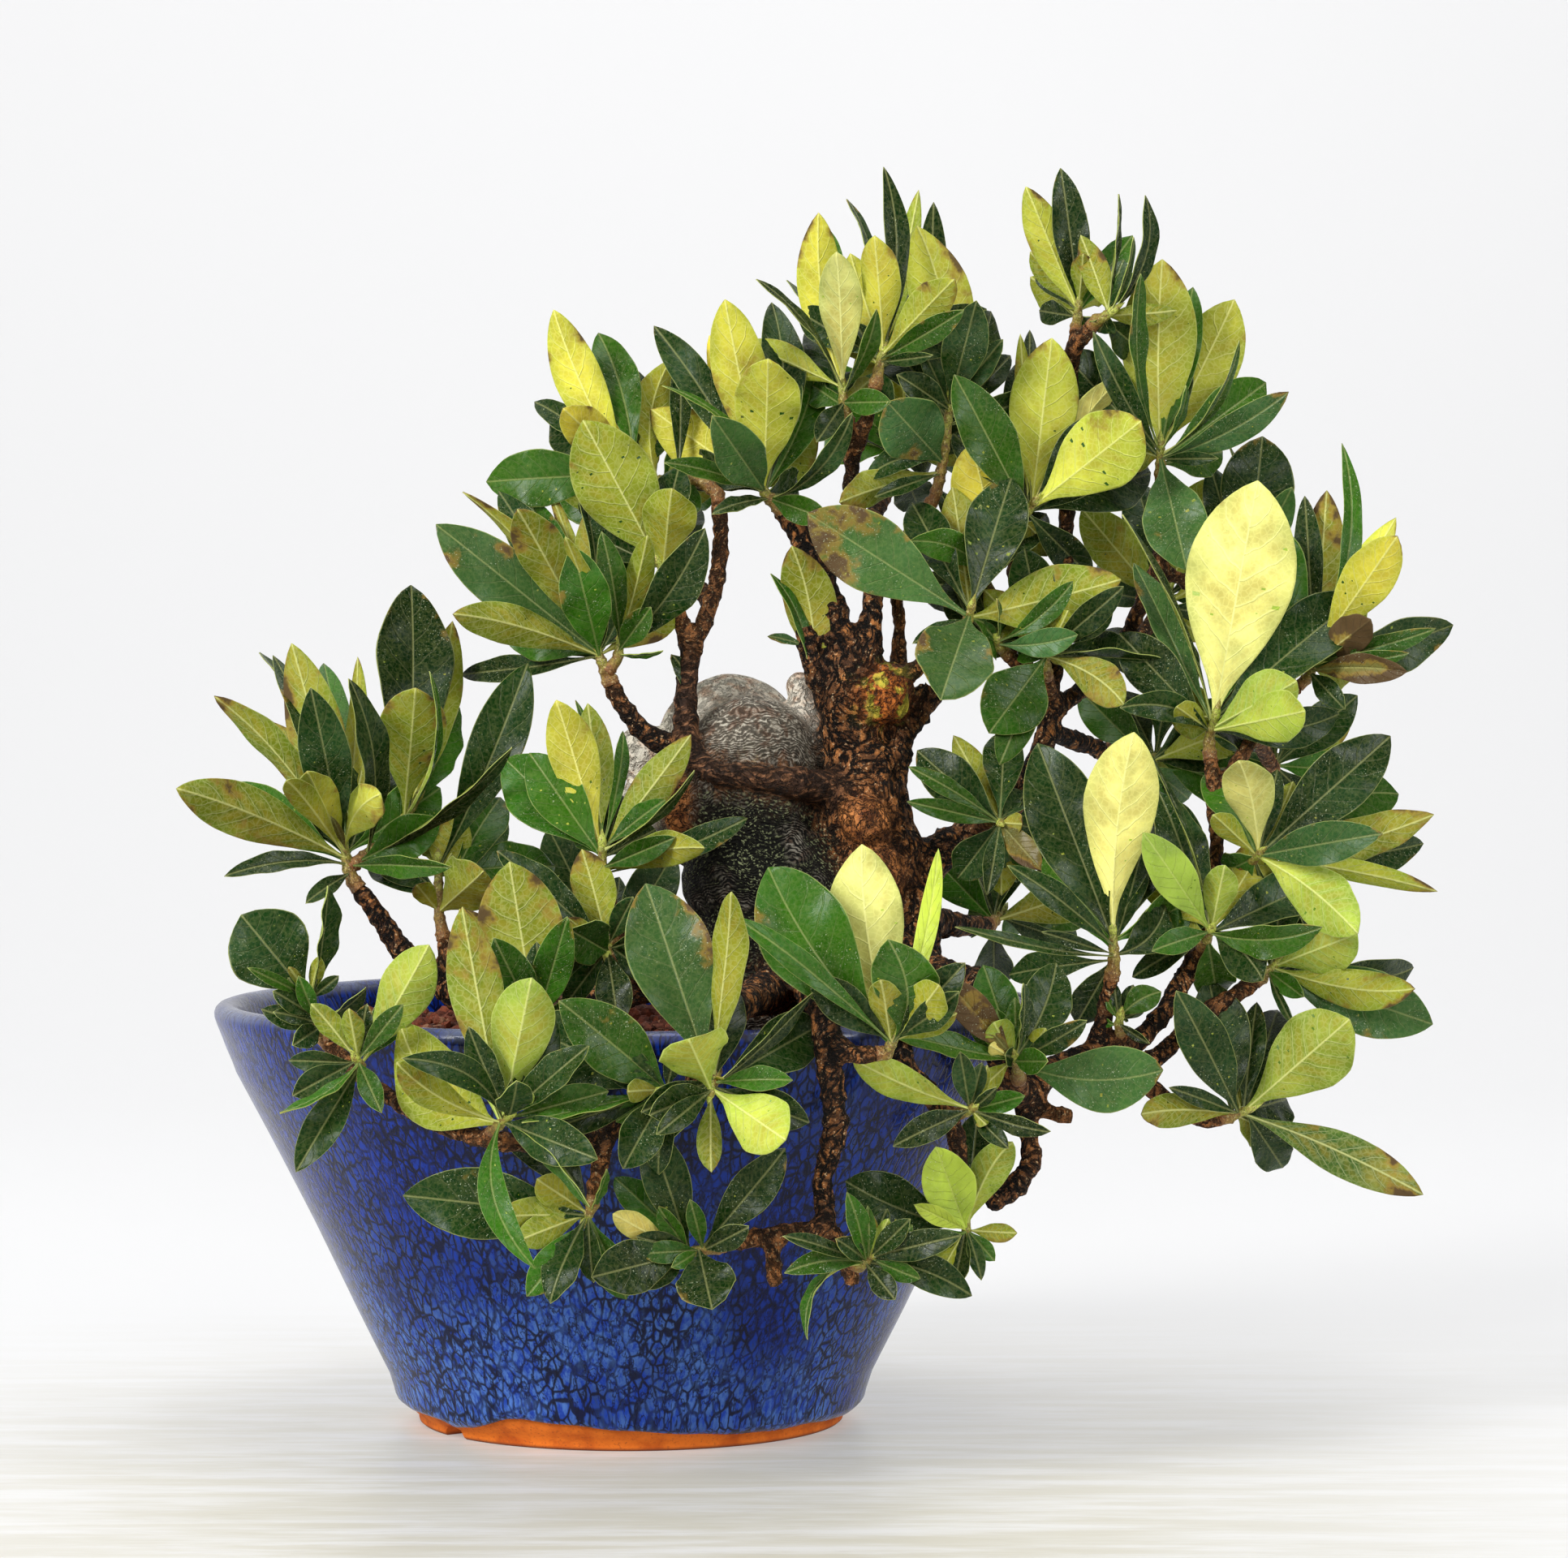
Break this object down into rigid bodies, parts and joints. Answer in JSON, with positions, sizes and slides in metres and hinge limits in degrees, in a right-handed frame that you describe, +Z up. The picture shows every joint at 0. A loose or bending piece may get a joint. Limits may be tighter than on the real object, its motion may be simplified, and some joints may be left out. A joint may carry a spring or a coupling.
{
  "type": "potted bonsai tree",
  "caption": "Small broadleaf bonsai with a thick stock, bare woody branches and whorled glossy leaves, in a flared round glazed pot on a foot ring.",
  "frame": {"origin": "middle of the whole object, at the height of the surface that the pot's foot stands on", "axes": "+Z up, -Y towards the picture's viewer, +X to the viewer's right"},
  "size_m": [0.3407, 0.2901, 0.349],
  "materials": {
    "glaze": "glossy cobalt crackle glaze",
    "soil": "rough bark and lava chips",
    "bark": "rough bark",
    "leaf": "waxy leaf",
    "screen": "moulded mesh"
  },
  "bodies": {
    "root": {"drain_screen": "screen", "pot": "glaze", "soil": "soil", "spray_back_far_right": "leaf", "spray_back_low_left": "leaf", "spray_back_low_middle": "leaf", "spray_back_low_right": "leaf", "spray_back_right": "leaf", "spray_back_top": "leaf", "spray_back_upper_left": "leaf", "spray_back_upper_right": "leaf", "spray_bright_pair": "leaf", "spray_brown_tip_group": "leaf", "spray_centre_group": "leaf", "spray_centre_left_group": "leaf", "spray_centre_right_group": "leaf", "spray_dark_pair": "leaf", "spray_dark_right_group": "leaf", "spray_dark_upper_group": "leaf", "spray_far_left": "leaf", "spray_far_right_group": "leaf", "spray_fork_leaf": "leaf", "spray_front_left_end": "leaf", "spray_front_low_middle": "leaf", "spray_front_low_right": "leaf", "spray_front_right_end": "leaf", "spray_front_right_upper": "leaf", "spray_grey_patch_group": "leaf", "spray_large_bright_group": "leaf", "spray_large_under_group": "leaf", "spray_largest_leaf": "leaf", "spray_left_inner": "leaf", "spray_left_rosette": "leaf", "spray_long_rib": "leaf", "spray_low_dark_group": "leaf", "spray_low_left_middle": "leaf", "spray_low_left_tip": "leaf", "spray_mid_left_group": "leaf", "spray_mid_left_top": "leaf", "spray_patched_group": "leaf", "spray_right_head": "leaf", "spray_right_low_lower_group": "leaf", "spray_right_low_upper_group": "leaf", "spray_right_middle": "leaf", "spray_right_side": "leaf", "spray_round_pale_group": "leaf", "spray_spot_leaf_group": "leaf", "spray_tall_bright_group": "leaf", "spray_top_right_left": "leaf", "spray_top_right_right": "leaf", "spray_upper_left_group": "leaf", "spray_upper_right_group": "leaf", "spray_yellow_leaf_group": "leaf", "wood": "bark"}
  },
  "joints": []
}
